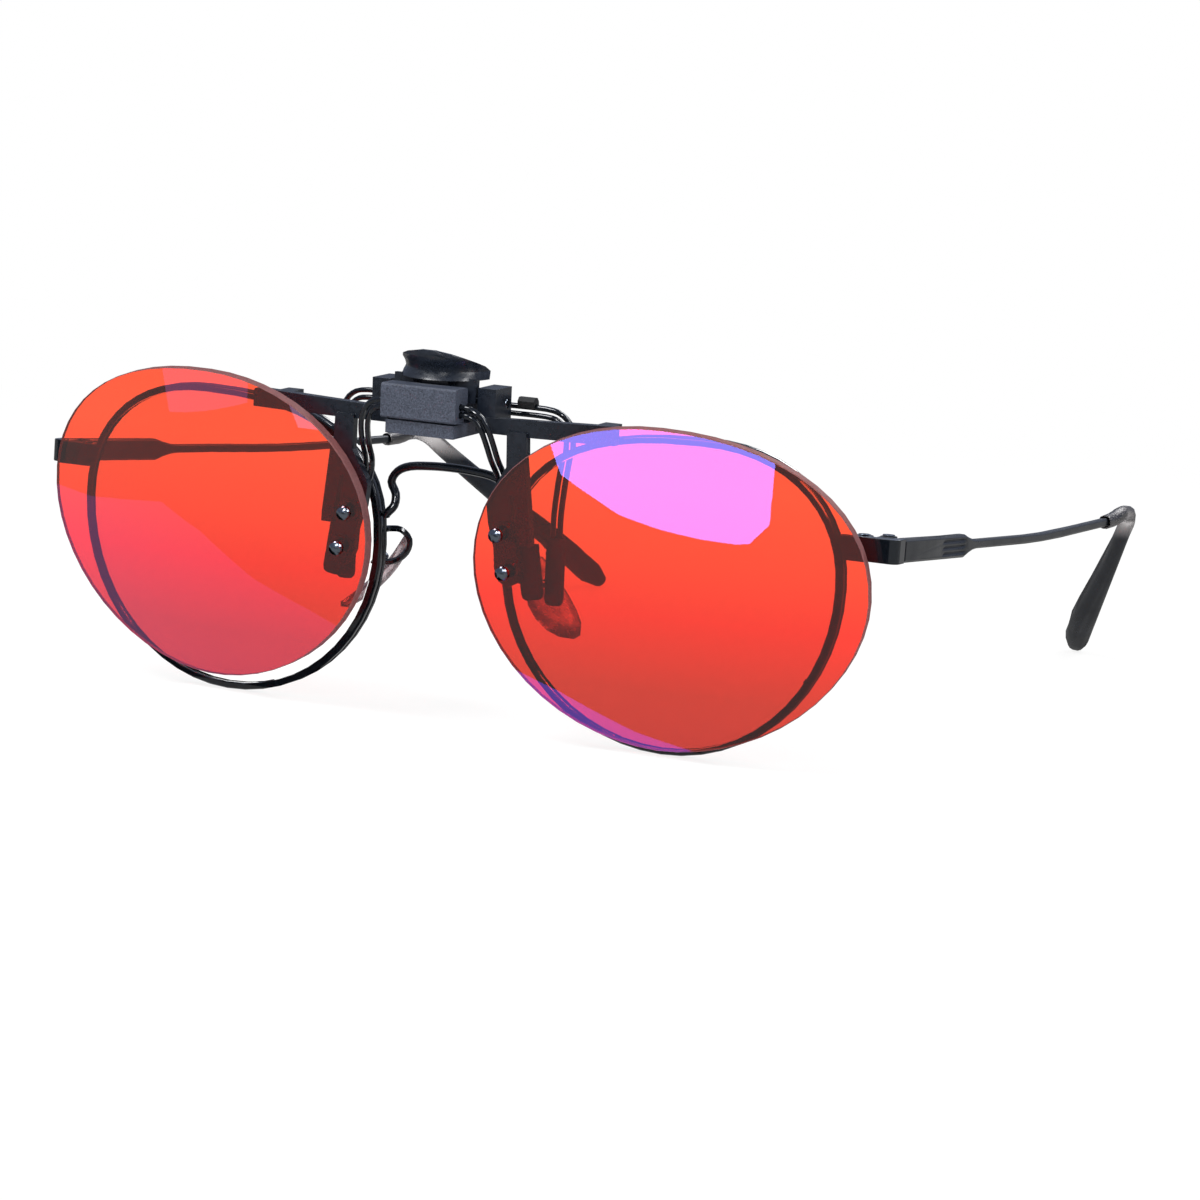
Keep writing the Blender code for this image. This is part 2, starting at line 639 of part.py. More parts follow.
def build_temple(name, side, fold):
    stations = [
        (BUTT_Y, 0, HEAD_Z, HEAD_T, HEAD_H, 0.0),
        (HEAD_END, 0, HEAD_Z - 0.75 * MM, HEAD_T, HEAD_H, 0.0),
        (HEAD_END + 1.0 * MM, 0, HEAD_Z - 0.8 * MM, HEAD_T, HEAD_H, FLUTE_DEEP),
        (HEAD_END + FLUTE_LEN - 1.0 * MM, 0, HEAD_Z - 1.1 * MM, HEAD_T, HEAD_H, FLUTE_DEEP),
        (HEAD_END + FLUTE_LEN, 0, HEAD_Z - 1.15 * MM, HEAD_T, HEAD_H, 0.0),
    ]
    start = Vector((HALF_WIDTH - HEAD_T / 2, 0, 0))
    rings = []
    ahead = Vector((0, 1, 0))
    for y, shift, z, wide, high, notch in stations:
        centre = Vector((side * (start.x + shift), y, z))
        rings.append(ring_on(temple_section(wide, high, notch), centre, ahead, side))
    neck = Vector((HALF_WIDTH - HEAD_T / 2, HEAD_END + FLUTE_LEN, HEAD_Z - 1.15 * MM))
    for part in (0.35, 0.7, 1.0):
        y = neck.y + (TAPER_END - neck.y) * part
        wide = HEAD_T + (ROD_W - HEAD_T) * part
        high = HEAD_H + (ROD_H - HEAD_H) * sin(part * pi / 2)
        centre = Vector((side * (neck.x - 0.1 * MM * part), y, neck.z - 0.2 * MM * part))
        rings.append(ring_on(temple_section(wide, high, 0.0), centre, ahead, side))
    path = rod_path(side)
    socket_end = SLEEVE_MOUTH.y + SLEEVE_SOCKET - GAP
    for i, point in enumerate(path):
        if point.y <= TAPER_END + 4 * MM or point.y > socket_end:
            continue
        ahead = (path[min(i + 1, len(path) - 1)] - path[i - 1]).normalized()
        rings.append(ring_on(temple_section(ROD_W, ROD_H, 0.0), point, ahead, side))
    bm = bmesh.new()
    loft(bm, rings)
    bm.transform(hinge_place(side).inverted())
    add_object(name + "_temple", mesh_from(bm, "temple"), "black_metal", fold)


def rod_path(side):
    neck = Vector((HALF_WIDTH - HEAD_T / 2 - 0.1 * MM, TAPER_END, HEAD_Z - 1.35 * MM))
    drop = TIP_END - BEND
    points = [
        neck,
        ROD_MID,
        SLEEVE_MOUTH,
        CREST,
        BEND,
        BEND + drop * 0.12,
        BEND + drop * 0.4,
        BEND + drop * 0.72,
        TIP_END,
    ]
    return [Vector((side * p.x, p.y, p.z)) for p in smooth_path(points, 4)]


def build_tip(name, side, fold):
    path = [p for p in rod_path(side) if p.y >= SLEEVE_MOUTH.y - 0.01 * MM]
    total = sum((b - a).length for a, b in zip(path, path[1:]))
    inner, outer = [], []
    walked = 0.0
    for i, point in enumerate(path):
        ahead = (path[min(i + 1, len(path) - 1)] - path[max(i - 1, 0)]).normalized()
        if i:
            walked += (point - path[i - 1]).length
        share = walked / total
        grown = min(1.0, share / 0.86)
        wide, high = (a + (b - a) * grown for a, b in zip(TIP_MOUTH, (TIP_W, TIP_H)))
        if i == len(path) - 1:
            wide, high = wide * 0.7, high * 0.55
        outer.append(ring_on(arc_section(wide, high), point, ahead, side))
        if point.y <= SLEEVE_MOUTH.y + SLEEVE_SOCKET:
            room = 2 * SNUG
            inner.append(ring_on(arc_section(ROD_W + room, ROD_H + room), point, ahead, side))
    lowest = min(p.z for ring in outer for p in ring)
    highest = max(p.z for p in outer[0])
    for ring in outer:
        for p in ring:
            p.z -= lowest * (highest - p.z) / (highest - lowest)
    bm = bmesh.new()
    loft(bm, inner[::-1] + outer)
    bm.transform(hinge_place(side).inverted())
    add_object(name + "_temple_tip", mesh_from(bm, "temple_tip", 50), "sleeve_plastic", fold)


def arc_section(wide, high):
    # A rounded oblong of twelve points, squarer than an ellipse.
    points = []
    for i in range(12):
        turn = 2 * pi * (i + 0.5) / 12
        c, s = cos(turn), sin(turn)
        points.append((wide / 2 * (abs(c) ** 0.8) * (1 if c > 0 else -1),
                       high / 2 * (abs(s) ** 0.8) * (1 if s > 0 else -1)))
    return points


# The clip's lenses and their carriers

def clip_lens_place(side):
    level = Vector((side * CLIP_X + CLIP_SHIFT, -CLIP_FORWARD, EYE_Z + CLIP_UP))
    roll = Matrix.Rotation(CLIP_ROLL, 4, "Y")
    pivot = Vector((0, 0, CLIP_ROLL_Z))
    return (Matrix.Translation(roll @ (level - pivot) + pivot) @ roll
            @ Matrix.Rotation(side * CLIP_WRAP, 4, "Z") @ Matrix.Rotation(CLIP_TILT, 4, "X"))


def rivet_place(side, rivet):
    # On the lens's front face, with Z square to it and pointing back.
    at = Vector((side * rivet.x, sag(rivet, CLIP_CURVE), rivet.y))
    normal = Vector((-at.x / CLIP_CURVE, 1, -at.z / CLIP_CURVE)).normalized()
    turn = normal.to_track_quat("Z", "Y").to_matrix().to_4x4()
    return clip_lens_place(side) @ Matrix.Translation(at) @ turn


def rivet_reach(side, rivet):
    # From the lens's front face back to the rear face of the leg, at the rivet.
    place = rivet_place(side, rivet)
    return (PLATE["back"] - place.translation.y) / place.col[2].y


def build_clip_lens(name, side, flip, axle):
    place = clip_lens_place(side)
    edge = [(CLIP_EDGE, 0), (0, CLIP_EDGE), (0, CLIP_LENS_T - CLIP_EDGE), (CLIP_EDGE, CLIP_LENS_T)]
    bm = lens_body(CLIP_EYE, CLIP_STEPS, CLIP_CURVE, side, edge)
    lens = add_object(name + "_tinted_lens", mesh_from(bm, "tinted_lens"), "red_lens", flip,
                      axle @ place)
    for rivet in RIVETS:
        cut(lens, rod(RIVET_R + RUN, -MM, 3 * MM, along_z), place.inverted() @ rivet_place(side, rivet))
    for level, rivet in zip(("upper", "lower"), RIVETS):
        end = rivet_reach(side, rivet) + 0.35 * MM
        profile = [(RIVET_HEAD_R * cos(pi / 2 * k / 3), -RUN - RIVET_HEAD_H * sin(pi / 2 * k / 3))
                   for k in (2.7, 2, 1, 0)]
        bm = bmesh.new()
        turned(bm, profile + [(RIVET_R, -RUN), (RIVET_R, end)], Matrix.Identity(4))
        add_object("_".join((name, level, "rivet")), mesh_from(bm, "rivet"), "steel", flip,
                   axle @ rivet_place(side, rivet))


def leg_outline():
    # In the front view: a heel beside the nose, a foot with the rivets, a column outside.
    inner, outer, heel, foot = LEG["in"], LEG["out"], LEG["heel"], LEG["foot"]
    low = LEG["column_foot"]
    top = ARM["low"] + 0.6 * MM
    slot = LEG["slot"] / 2
    slot_top = Vector((inner + 1.3 * MM, foot + 12.1 * MM))
    slot_low = Vector((inner + 2.05 * MM, foot + 7.1 * MM))
    return [
        (inner, top), (inner + 0.1 * MM, foot + 15.6 * MM), (heel + 0.3 * MM, foot + 12.0 * MM),
        (heel, foot + 11.1 * MM), (heel + 0.4 * MM, foot + 8.1 * MM),
        (heel + 1.3 * MM, foot + 5.0 * MM), (heel + 1.5 * MM, foot + 2.3 * MM),
        (heel + 2.2 * MM, foot + 0.7 * MM), (heel + 3.45 * MM, foot),
        (heel + 4.95 * MM, foot + 0.8 * MM), (heel + 5.25 * MM, foot + 2.4 * MM),
        (heel + 4.75 * MM, foot + 4.3 * MM),
        (slot_low.x - slot, slot_low.y), (slot_top.x - slot, slot_top.y),
        (slot_top.x + slot, slot_top.y), (slot_low.x + slot, slot_low.y),
        (slot_low.x + slot + 0.2 * MM, low), (outer + 1.45 * MM, low),
        (outer + 1.4 * MM, low + 1.2 * MM), (outer + 0.8 * MM, low + 6.0 * MM),
        (outer + 0.1 * MM, low + 12.0 * MM), (outer, top),
    ]


def build_carrier(name, side, flip, axle):
    def view(a, b, s):
        return Vector((side * a, s, b))

    arm_top = ARM["high"] + (ARM["end"] - POST["in"]) * ARM["climb"]
    arm_low = ARM["low"] + (ARM["end"] - POST["out"]) * ARM["climb"] * 0.4
    arm = [(POST["in"], ARM["low"]), (POST["in"], ARM["high"]), (ARM["end"] - 0.2 * MM, arm_top),
           (ARM["end"], arm_top - 0.3 * MM), (ARM["end"], arm_low), (LEG["out"] + MM, ARM["low"])]
    piece = add_object(name + "_carrier", mesh_from(prism(arm, ARM["front"], ARM["back"], view),
                                                    "carrier"), "black_plastic", flip, axle)
    join(piece, prism(leg_outline(), PLATE["front"], PLATE["back"], view))
    post = [(POST["in"], POST["bottom"]), (POST["out"], POST["bottom"]),
            (POST["out"], POST["top"]), (POST["in"], POST["top"])]
    join(piece, prism(post, POST["front"], POST["back"], view))
    tab = [(TAB["in"], TAB["top"] - TAB["thick"]), (TAB["out"], TAB["top"] - TAB["thick"]),
           (TAB["out"], TAB["top"]), (TAB["in"], TAB["top"])]
    join(piece, prism(tab, ARM["back"] - 0.3 * MM, TAB["back"], view))
    for rivet in RIVETS:
        place = rivet_place(side, rivet)
        join(piece, rod(BOSS_R, CLIP_LENS_T + GAP, rivet_reach(side, rivet) - 0.35 * MM, along_z, 16),
             place)
    for rivet in RIVETS:
        cut(piece, rod(RIVET_R + RUN, 0, 6 * MM, along_z), rivet_place(side, rivet))
    cut(piece, rod(AXLE_R + RUN, -HALF_WIDTH, HALF_WIDTH, along_x, 16),
        Matrix.Translation((0, AXLE_Y, AXLE_Z)))


# The hinge block, its axle, the spring and the lever

def build_block(clip):
    b, f = BLOCK, FLOOR
    soft = 0.25 * MM
    side_view = [
        (b["front"], b["bottom"] + soft), (b["front"], b["top"] - soft),
        (b["front"] + soft, b["top"]), (b["back"] - soft, b["top"]),
        (b["back"], b["top"] - soft), (b["back"], b["shoulder"]),
        (b["waist"], b["shoulder"] - 0.5 * MM), (b["waist"], b["bottom"]),
        (b["front"] + soft, b["bottom"]),
    ]
    piece = add_object("hinge_block",
                       mesh_from(prism(side_view, -b["half"], b["half"], along_x), "hinge_block"),
                       "block_plastic", clip)
    join(piece, slab((-f["half"], f["front"], f["bottom"]), (f["half"], f["back"], f["top"])))
    join(piece, slab((-f["half"] + 0.3 * MM, f["front"] + 0.8 * MM, f["top"] - 0.3 * MM),
                     (f["half"] - 0.3 * MM, b["waist"] - 0.2 * MM, b["bottom"] + 0.3 * MM)))
    cheek = [(AXLE_Y - CHEEK_R - 0.5 * MM, f["top"] - 0.3 * MM)]
    cheek += arc(CHEEK_R, 8, (AXLE_Y, AXLE_Z), pi, -pi)
    cheek += [(f["back"], f["top"] - 0.3 * MM)]
    for low, high in ((-f["half"], -CHEEK_IN), (CHEEK_IN, f["half"])):
        join(piece, prism(cheek, low, high, along_x))
    cut(piece, rod(AXLE_R + RUN, -b["half"], b["half"], along_x, 16),
        Matrix.Translation((0, AXLE_Y, AXLE_Z)))
    bore = PIN_R + SNUG
    for strand in (-PIN_PITCH / 2, PIN_PITCH / 2):
        for side in (-1, 1):
            near, far = sorted((side * (b["half"] - SOCKET), side * (b["half"] + MM)))
            cut(piece, rod(bore, near, far, along_x, 10),
                Matrix.Translation((0, FRONT_PIN.y, FRONT_PIN.z + strand)))


def build_axle(flip):
    bm = bmesh.new()
    end = POST["out"]
    profile = ((AXLE_R * 0.75, -end), (AXLE_R, -end + 0.15 * MM), (AXLE_R, end - 0.15 * MM),
               (AXLE_R * 0.75, end))
    turned(bm, profile, Matrix.Rotation(pi / 2, 4, "Y"), 16)
    add_object("axle_pin", mesh_from(bm, "axle_pin"), "steel", flip)


def build_spring(clip):
    turns, steps = COIL_TURNS, COIL_STEPS
    count = round(turns * steps)
    start_x = -COIL_PITCH * turns / 2
    coil = []
    for i in range(count + 1):
        turn = -pi / 2 + 2 * pi * turns * i / count
        coil.append(Vector((start_x + COIL_PITCH * turns * i / count,
                            AXLE_Y + COIL_R * cos(turn), AXLE_Z + COIL_R * sin(turn))))
    first, last = coil[0], coil[-1]
    rest = FLOOR["top"] + GAP + COIL_WIRE_R
    over = TAIL["top"] + GAP + COIL_WIRE_R + 0.1 * MM
    path = [Vector((first.x, FLOOR["front"] + 3.6 * MM, rest)),
            Vector((first.x, first.y - 1.0 * MM, (rest + first.z) / 2))]
    path += coil
    path += [Vector((last.x, last.y + 0.15 * MM, last.z + 0.6 * MM)),
             Vector((last.x, last.y + 0.6 * MM, over)),
             Vector((last.x, TAIL["back"] - 0.6 * MM, over))]
    tube("torsion_spring", path, COIL_WIRE_R, "black_steel", clip)
    gap = COIL_PITCH * cos(asin(COIL_PITCH / (2 * pi * COIL_R))) - 2 * COIL_WIRE_R
    print("least gap between the spring's turns, mm:", round(gap / MM, 3))


def build_lever(clamp, axle):
    # Half a drum with its round side in front, cut off above along a round line.
    t = THUMB
    middle = t["front"] + t["r"]
    columns = 12
    shares = (0.0, 0.12, 0.28, 0.45, 0.62, 0.78, 0.9, 0.97, 1.0)
    sheets = ([], [])
    full = t["mid"] + t["rise"] - t["low"]
    for share in shares:
        z = t["low"] + full * share
        over = (z - t["mid"]) / t["rise"]
        spread = t["reach"] / t["r"] * max(0.02, 1 - over ** t["round"]) ** (1 / t["round"])
        sway = sway_at(share)
        for sheet, r in zip(sheets, (t["r"], t["r"] - t["thick"])):
            angles = [spread * (2 * i / columns - 1) for i in range(columns + 1)]
            sheet.append([Vector((r * sin(a), middle - r * cos(a) + sway, z)) for a in angles])
    rings = [front + back[::-1] for front, back in zip(*sheets)]
    bm = bmesh.new()
    loft(bm, rings)
    piece = add_object("thumb_lever", mesh_from(bm, "thumb_lever"), "black_plastic", clamp, axle)
    rib = [(AXLE_Y - 1.4 * MM, AXLE_Z), (AXLE_Y + 1.3 * MM, AXLE_Z),
           (AXLE_Y + 0.9 * MM, AXLE_Z + 1.5 * MM)]
    for ahead, above in ((3.6, 1.65), (2.35, 1.75), (2.5, 1.05), (2.05, 0.55), (1.5, 0.15),
                         (2.2, -0.45), (2.6, -1.3)):
        rib.append((t["front"] + ahead * MM, t["low"] + above * MM))
    link = [(AXLE_Y, AXLE_Z - 1.1 * MM), (TAIL["front"] + 0.3 * MM, AXLE_Z - 1.1 * MM),
            (TAIL["front"] + 0.3 * MM, TAIL["top"]), (AXLE_Y, AXLE_Z + 0.8 * MM)]
    for low, high in ((-HUB["out"], -HUB["in"]), (HUB["in"], HUB["out"])):
        inset = 0.1 * MM
        join(piece, prism(rib, low + inset, high - inset, along_x))
        join(piece, rod(HUB["r"], low, high, along_x, 16), Matrix.Translation((0, AXLE_Y, AXLE_Z)))
        join(piece, prism(link, low + 2 * inset, high - 2 * inset, along_x))
    join(piece, slab((-HUB["out"], TAIL["front"], TAIL["bottom"]),
                     (HUB["out"], TAIL["back"], TAIL["top"])))
    cut(piece, rod(AXLE_R + RUN, -BLOCK["half"], BLOCK["half"], along_x, 16),
        Matrix.Translation((0, AXLE_Y, AXLE_Z)))
    for strand in (-PIN_PITCH / 2, PIN_PITCH / 2):
        for side in (-1, 1):
            near, far = sorted((side * (HUB["out"] - SOCKET), side * (HUB["out"] + MM)))
            cut(piece, rod(PIN_R + SNUG, near, far, along_x, 10),
                Matrix.Translation((0, REAR_PIN.y, REAR_PIN.z + strand)))


def sway_at(share):
    # How far the thumb piece leans back or forward at a share of its height.
    for (low, first), (high, second) in zip(THUMB_SWAY, THUMB_SWAY[1:]):
        if share <= high:
            return (first + (second - first) * (share - low) / (high - low)) * MM
    return THUMB_SWAY[-1][1] * MM


# The four feet of the clamp

def foot_axis(foot, side):
    return Vector((-side * sin(foot["lean"]), 0, cos(foot["lean"])))


def hairpin(name, side, parent, start, waypoints, foot, shift):
    # Two strands side by side in the front view, joined by a bend inside the rubber.
    base = Vector((side * foot["foot"].x, foot["foot"].y, foot["foot"].z))
    axis = foot_axis(foot, side)
    end = base + axis * (PAD_WALL + PIN_R + SNUG + PIN_PITCH / 2)
    points = [Vector((side * (start.x - SOCKET + SNUG), start.y, start.z))]
    points += [Vector((side * x * MM, y * MM, z * MM)) for x, y, z in waypoints]
    points += [base + axis * (foot["length"] + 0.6 * MM), base + axis * foot["length"] * 0.55, end]
    middle = smooth_path(points, 3)
    strands = ([], [])
    for i, point in enumerate(middle):
        ahead = middle[min(i + 1, len(middle) - 1)] - middle[max(i - 1, 0)]
        across = Vector((ahead.z, 0, -ahead.x)).normalized() * PIN_PITCH / 2
        strands[0].append(point + across)
        strands[1].append(point - across)
    across = strands[0][-1] - end
    turn = [end + across * cos(pi * k / 5) - axis * (PIN_PITCH / 2) * sin(pi * k / 5)
            for k in range(1, 5)]
    path = [shift @ p for p in strands[0] + turn + strands[1][::-1]]
    tube(name, path, PIN_R, "black_steel", parent)


def build_foot(name, side, parent, foot, shift):
    # A rubber sleeve, open at the top, with a slot for the hairpin.
    wide, thick, length = foot["wide"], foot["thick"], foot["length"]
    room = 2 * (PIN_R + SNUG)
    slot = stadium(PIN_PITCH + room, room)
    outside = stadium(wide, thick)
    rings = [(slot, PAD_WALL), (slot, length), (outside, length), (outside, 0.9 * MM)]
    rings += [([(a * 0.9, b * 0.92) for a, b in outside], 0.3 * MM),
              ([(a * 0.66, b * 0.7) for a, b in outside], 0.0)]
    bm = bmesh.new()
    loft(bm, [[Vector((a, b, h)) for a, b in outline] for outline, h in rings])
    base = Matrix.Translation((side * foot["foot"].x, foot["foot"].y, foot["foot"].z))
    place = base @ Matrix.Rotation(-side * foot["lean"], 4, "Y")
    add_object(name, mesh_from(bm, "foot"), "rubber", parent, shift @ place)


FRONT_WAY = ((6.2, -4.9, 42.8), (7.4, -4.8, 42.45), (8.3, -4.6, 41.6), (8.9, -4.3, 40.3),
             (9.25, -3.7, 38.7), (9.5, -2.7, 36.6), (9.75, -1.35, 34.6), (10.3, -0.8, 32.2),
             (11.9, -0.5, 28.8))
REAR_WAY = ((8.0, 4.3, 42.35), (13.3, 4.3, 42.35), (15.4, 4.4, 41.8), (16.6, 4.6, 40.3),
            (16.95, 4.6, 38.0), (16.3, 4.65, 33.5), (15.85, 4.75, 29.5))


def build_crimp(clamp, axle):
    half = CRIMP["deep"] / 2
    low = REAR_PIN.z - PIN_PITCH / 2 - PIN_R - 0.55 * MM
    back, front = REAR_PIN.y + half, REAR_PIN.y - half
    outline = [(front, low + 0.25 * MM), (front + 0.25 * MM, low), (back - 0.25 * MM, low),
               (back, low + 0.25 * MM), (back, CRIMP["top"] - 0.5 * MM),
               (back - 0.4 * MM, CRIMP["top"]), (front + 0.4 * MM, CRIMP["top"]),
               (front, CRIMP["top"] - 0.5 * MM)]
    piece = add_object("wire_crimp",
                       mesh_from(prism(outline, CRIMP["in"], CRIMP["out"], along_x), "wire_crimp"),
                       "black_steel", clamp, axle)
    room = 2 * (PIN_R + SNUG)
    slot = [(b, a) for a, b in stadium(PIN_PITCH + room, room)][::-1]
    cut(piece, prism(slot, CRIMP["in"] - MM, CRIMP["out"] + MM, along_x),
        Matrix.Translation((0, REAR_PIN.y, REAR_PIN.z)))


# Put together

def remove_everything():
    for thing in list(bpy.data.objects):
        bpy.data.objects.remove(thing)


def corners(things):
    bpy.context.view_layer.update()
    graph = bpy.context.evaluated_depsgraph_get()
    low, high = Vector((1e9,) * 3), Vector((-1e9,) * 3)
    for thing in things:
        seen = thing.evaluated_get(graph)
        mesh = seen.to_mesh()
        for vertex in mesh.vertices:
            place = seen.matrix_world @ vertex.co
            low = Vector(map(min, low, place))
            high = Vector(map(max, high, place))
        seen.to_mesh_clear()
    return low, high


def build():
    remove_everything()
    ground = empty("ground")
    front = empty("front_plane", ground,
                  Matrix.Translation((0, FRONT_Y, 0)) @ Matrix.Rotation(LEAN, 4, "X"))
    wires = [build_eye(name, side, front) for name, side in SIDES]
    front.location.z -= corners(wires)[0].z
    build_bridge(front)
    for name, side in SIDES:
        build_pad_box(name, side, front)
        build_pad_arm(name, side, front)
        build_pad_pin(name, side, front)
        build_nose_pad(name, side, front)
        fold = empty(name + "_temple_fold", ground, hinge_place(side))
        build_endpiece(name, side, ground)
        build_hinge(name, side, ground, fold)
        build_temple(name, side, fold)
        build_tip(name, side, fold)

    clip = empty("clip", front)
    axle = Matrix.Translation((0, -AXLE_Y, -AXLE_Z))
    flip = empty("lens_flip", clip, axle.inverted())
    clamp = empty("clamp_open", clip, axle.inverted())
    build_block(clip)
    build_axle(flip)
    build_spring(clip)
    build_lever(clamp, axle)
    build_crimp(clamp, axle)
    still = Matrix.Identity(4)
    for name, side in SIDES:
        build_clip_lens(name, side, flip, axle)
        build_carrier(name, side, flip, axle)
        hairpin(name + "_front_wire", side, clip, FRONT_PIN, FRONT_WAY, FRONT_PAD, still)
        build_foot(name + "_front_pad", side, clip, FRONT_PAD, still)
        hairpin(name + "_rear_wire", side, clamp, REAR_PIN, REAR_WAY, REAR_PAD, axle)
        build_foot(name + "_rear_pad", side, clamp, REAR_PAD, axle)

    low, high = corners([o for o in bpy.data.objects if o.type in ("MESH", "CURVE")])
    ground.location -= Vector(((low.x + high.x) / 2, (low.y + high.y) / 2, low.z))
    print("size, mm:", [round(side / MM, 2) for side in high - low])
    print("moved back by, mm:", [round(side / MM, 3) for side in ground.location])


build()
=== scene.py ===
import json
from math import radians

import bmesh
import bpy
from mathutils import Matrix, Vector

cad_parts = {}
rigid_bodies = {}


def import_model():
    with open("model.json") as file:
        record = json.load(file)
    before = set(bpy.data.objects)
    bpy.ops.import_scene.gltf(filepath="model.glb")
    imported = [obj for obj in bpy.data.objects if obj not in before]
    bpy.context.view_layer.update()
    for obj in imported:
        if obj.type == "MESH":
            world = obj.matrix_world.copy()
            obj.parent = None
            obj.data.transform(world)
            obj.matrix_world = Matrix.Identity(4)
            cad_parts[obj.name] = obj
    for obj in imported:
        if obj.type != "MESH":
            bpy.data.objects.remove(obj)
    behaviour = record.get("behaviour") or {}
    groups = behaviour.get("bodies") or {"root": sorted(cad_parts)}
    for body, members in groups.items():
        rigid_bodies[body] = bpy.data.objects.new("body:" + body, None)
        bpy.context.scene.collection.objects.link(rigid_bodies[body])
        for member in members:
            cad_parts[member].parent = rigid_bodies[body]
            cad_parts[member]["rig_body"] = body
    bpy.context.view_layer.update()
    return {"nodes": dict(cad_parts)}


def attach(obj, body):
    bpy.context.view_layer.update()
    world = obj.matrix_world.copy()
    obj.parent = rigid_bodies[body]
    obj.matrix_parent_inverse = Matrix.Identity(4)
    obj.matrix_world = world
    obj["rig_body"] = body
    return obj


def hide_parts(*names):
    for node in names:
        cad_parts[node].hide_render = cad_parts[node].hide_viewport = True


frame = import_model()
mm = 0.001


def srgb(code):
    # "#rrggbb" as the linear colour that a shader wants
    parts = [int(code[i:i + 2], 16) / 255 for i in (1, 3, 5)]
    return [c / 12.92 if c <= 0.04045 else ((c + 0.055) / 1.055) ** 2.4 for c in parts] + [1.0]


def addNode(tree, kind, links=(), values=(), **settings):
    # A name in settings is an input of the node, or else one of its properties
    node = tree.nodes.new("ShaderNode" + kind)
    for name, value in settings.items():
        label = name.replace("_", " ")
        if label in node.inputs:
            node.inputs[label].default_value = value
        else:
            setattr(node, name, value)
    for socket, value in values:
        node.inputs[socket].default_value = value
    for source, socket in links:
        tree.links.new(source, node.inputs[socket])
    return node


def startTree(owner):
    # The emptied node tree of a new world or material
    owner.use_nodes = True
    owner.node_tree.nodes.clear()
    return owner.node_tree


def meshFrom(name, bm):
    mesh = bpy.data.meshes.new(name)
    bm.to_mesh(mesh)
    bm.free()
    return mesh


def addObject(name, data):
    # For a mesh, a lamp or the camera
    made = bpy.data.objects.new(name, data)
    bpy.context.scene.collection.objects.link(made)
    return made


# Solved from the photograph, which is taken as 1200 x 1200; places in metres, lens in mm
cameraPlace = {
    "at": (0.207277, -0.467810, 0.078529),
    "right": (0.901284, 0.427373, 0.070986),
    "up": (-0.121055, 0.091111, 0.988456),
    "back": (0.415972, -0.899473, 0.133852),
    "lens": 102.59,
    "sensor": 36.0,
    "shift": (0.0055, 0.0009),
    "clip": (0.01, 30.0),
}


def makeCamera(values):
    data = bpy.data.cameras.new("camera")
    data.lens = values["lens"]
    data.sensor_width = values["sensor"]
    data.sensor_fit = "HORIZONTAL"
    data.shift_x, data.shift_y = values["shift"]
    data.clip_start, data.clip_end = values["clip"]
    camera = addObject("camera", data)
    turn = Matrix((values["right"], values["up"], values["back"])).transposed().to_4x4()
    camera.matrix_world = Matrix.Translation(values["at"]) @ turn
    bpy.context.scene.camera = camera


makeCamera(cameraPlace)
print("camera placed")

# The camera sees white paper and white air, and so does a ray through a lens. The rest is
# what lights the glasses and what they mirror. Places are in metres, power in watts
studio = {
    "airLight": 0.6,        # what the air gives to diffuse surfaces
    "airInGloss": 0.25,     # how bright it is in a reflection
    "airTint": "#d2defc",   # and its colour there
    "paper": "#f2f2f2",
    "paperSize": 12.0,
    "whiteNear": 0.84,      # share of plain white under the glasses: the rest takes the shadow
    "whiteFrom": 0.10,      # from here on outward the share grows
    "whiteFar": 0.45,       # and from here on all is white
    "paperInGloss": 0.30,   # share of white in a reflection
    "throughLens": 1.3,     # how bright paper and air are behind a lens
    "lamps": {
        "softbox": {"at": (-0.35, -0.55, 0.80), "size": (0.45, 0.30), "power": 5.5},
        "front": {"at": (0.08, -0.95, 0.40), "size": (0.16, 0.16), "power": 2.2},
        "strip": {"at": (0.55, -0.25, 0.45), "size": (0.10, 0.50), "power": 2.2},
        "back": {"at": (0.15, 0.70, 0.65), "size": (0.60, 0.25), "power": 4.0},
    },
    "aim": (0.0, -0.03, 0.03),
}


def makeLamps(values):
    for name, lamp in values["lamps"].items():
        data = bpy.data.lights.new(name, "AREA")
        data.shape = "RECTANGLE"
        data.size, data.size_y = lamp["size"]
        data.energy = lamp["power"]
        placed = addObject(name, data)
        placed.location = lamp["at"]
        way = Vector(values["aim"]) - Vector(lamp["at"])
        placed.rotation_euler = way.to_track_quat("-Z", "Y").to_euler()


def sortRays(tree, values):
    # Mirrored is 1 once a ray has been reflected. Seen is 1 for the camera's own rays and
    # for those that went through a lens, but 0 for a mirrored one. White is how bright
    # plain white is, which is more behind a lens
    path = addNode(tree, "LightPath")
    mirrored = addNode(tree, "Math", [(path.outputs["Glossy Depth"], 0)], [(1, 0.5)],
                       operation="GREATER_THAN").outputs[0]
    either = addNode(tree, "Math", [(path.outputs["Is Camera Ray"], 0),
                                    (path.outputs["Is Transmission Ray"], 1)],
                     operation="MAXIMUM")
    seen = addNode(tree, "Math", [(either.outputs[0], 0), (mirrored, 1)],
                   operation="SUBTRACT", use_clamp=True).outputs[0]
    white = addNode(tree, "MapRange", [(path.outputs["Is Transmission Ray"], "Value")],
                    To_Min=1.0, To_Max=values["throughLens"]).outputs[0]
    return mirrored, seen, white


